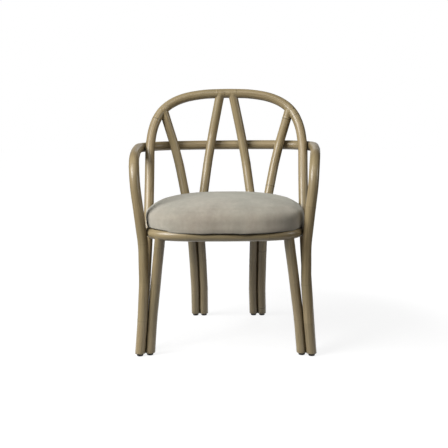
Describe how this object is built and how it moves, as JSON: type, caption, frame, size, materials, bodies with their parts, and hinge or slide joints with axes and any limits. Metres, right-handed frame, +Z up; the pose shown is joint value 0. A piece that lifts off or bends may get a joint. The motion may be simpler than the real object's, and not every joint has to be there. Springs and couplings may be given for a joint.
{
  "type": "cane armchair",
  "caption": "Armchair of bent rattan poles: an arched back with fanned spindles, a low wrap-round arm rail, paired legs and a loose domed seat pad on a round-cornered seat ring.",
  "frame": {"origin": "on the floor, under the middle of the chair's box", "axes": "+Z up, the sitter faces -Y, +X is the sitter's left"},
  "size_m": [0.603, 0.5828, 0.7998],
  "materials": {
    "cane": "satin lacquered peeled rattan, taupe brown",
    "cane_spindles": "satin lacquered peeled rattan, a little paler",
    "plywood": "plain sealed plywood",
    "velvet": "short pile velvet, warm grey",
    "nylon": "moulded nylon",
    "screw_steel": "zinc plated"
  },
  "bodies": {
    "frame": {"seat_ring": "cane", "back_hoop": "cane", "arm_rail": "cane", "front_prop_left": "cane", "front_prop_right": "cane", "seat_bar_front": "cane", "seat_bar_rear": "cane", "spindle_inner_left": "cane_spindles", "spindle_inner_right": "cane_spindles", "spindle_outer_left": "cane_spindles", "spindle_outer_right": "cane_spindles", "seat_deck": "plywood", "glide_arm_left": "nylon", "glide_arm_right": "nylon", "glide_hoop_left": "nylon", "glide_hoop_right": "nylon", "glide_prop_left": "nylon", "glide_prop_right": "nylon", "glide_rear_inner_left": "nylon", "glide_rear_inner_right": "nylon", "glide_rear_outer_left": "nylon", "glide_rear_outer_right": "nylon", "screw_rail_post_left": "screw_steel", "screw_rail_post_right": "screw_steel", "screw_rail_inner_left": "screw_steel", "screw_rail_inner_right": "screw_steel", "screw_rail_outer_left": "screw_steel", "screw_rail_outer_right": "screw_steel", "screw_ring_post_left": "screw_steel", "screw_ring_post_right": "screw_steel", "screw_ring_arm_left": "screw_steel", "screw_ring_arm_right": "screw_steel", "screw_ring_inner_left": "screw_steel", "screw_ring_inner_right": "screw_steel", "screw_ring_outer_left": "screw_steel", "screw_ring_outer_right": "screw_steel", "screw_pair_left": "screw_steel", "screw_pair_right": "screw_steel", "screw_prop_arm_left": "screw_steel", "screw_prop_arm_right": "screw_steel", "screw_ring_prop_left": "screw_steel", "screw_ring_prop_right": "screw_steel", "screw_hoop_inner_left": "screw_steel", "screw_hoop_inner_right": "screw_steel", "screw_hoop_outer_left": "screw_steel", "screw_hoop_outer_right": "screw_steel"},
    "pad": {"seat_pad": "velvet"}
  },
  "joints": [
    {"name": "pad_lift", "type": "slide", "parent": "frame", "child": "pad", "axis": [0, 0, 1], "range_m": [0, 0.3]}
  ]
}
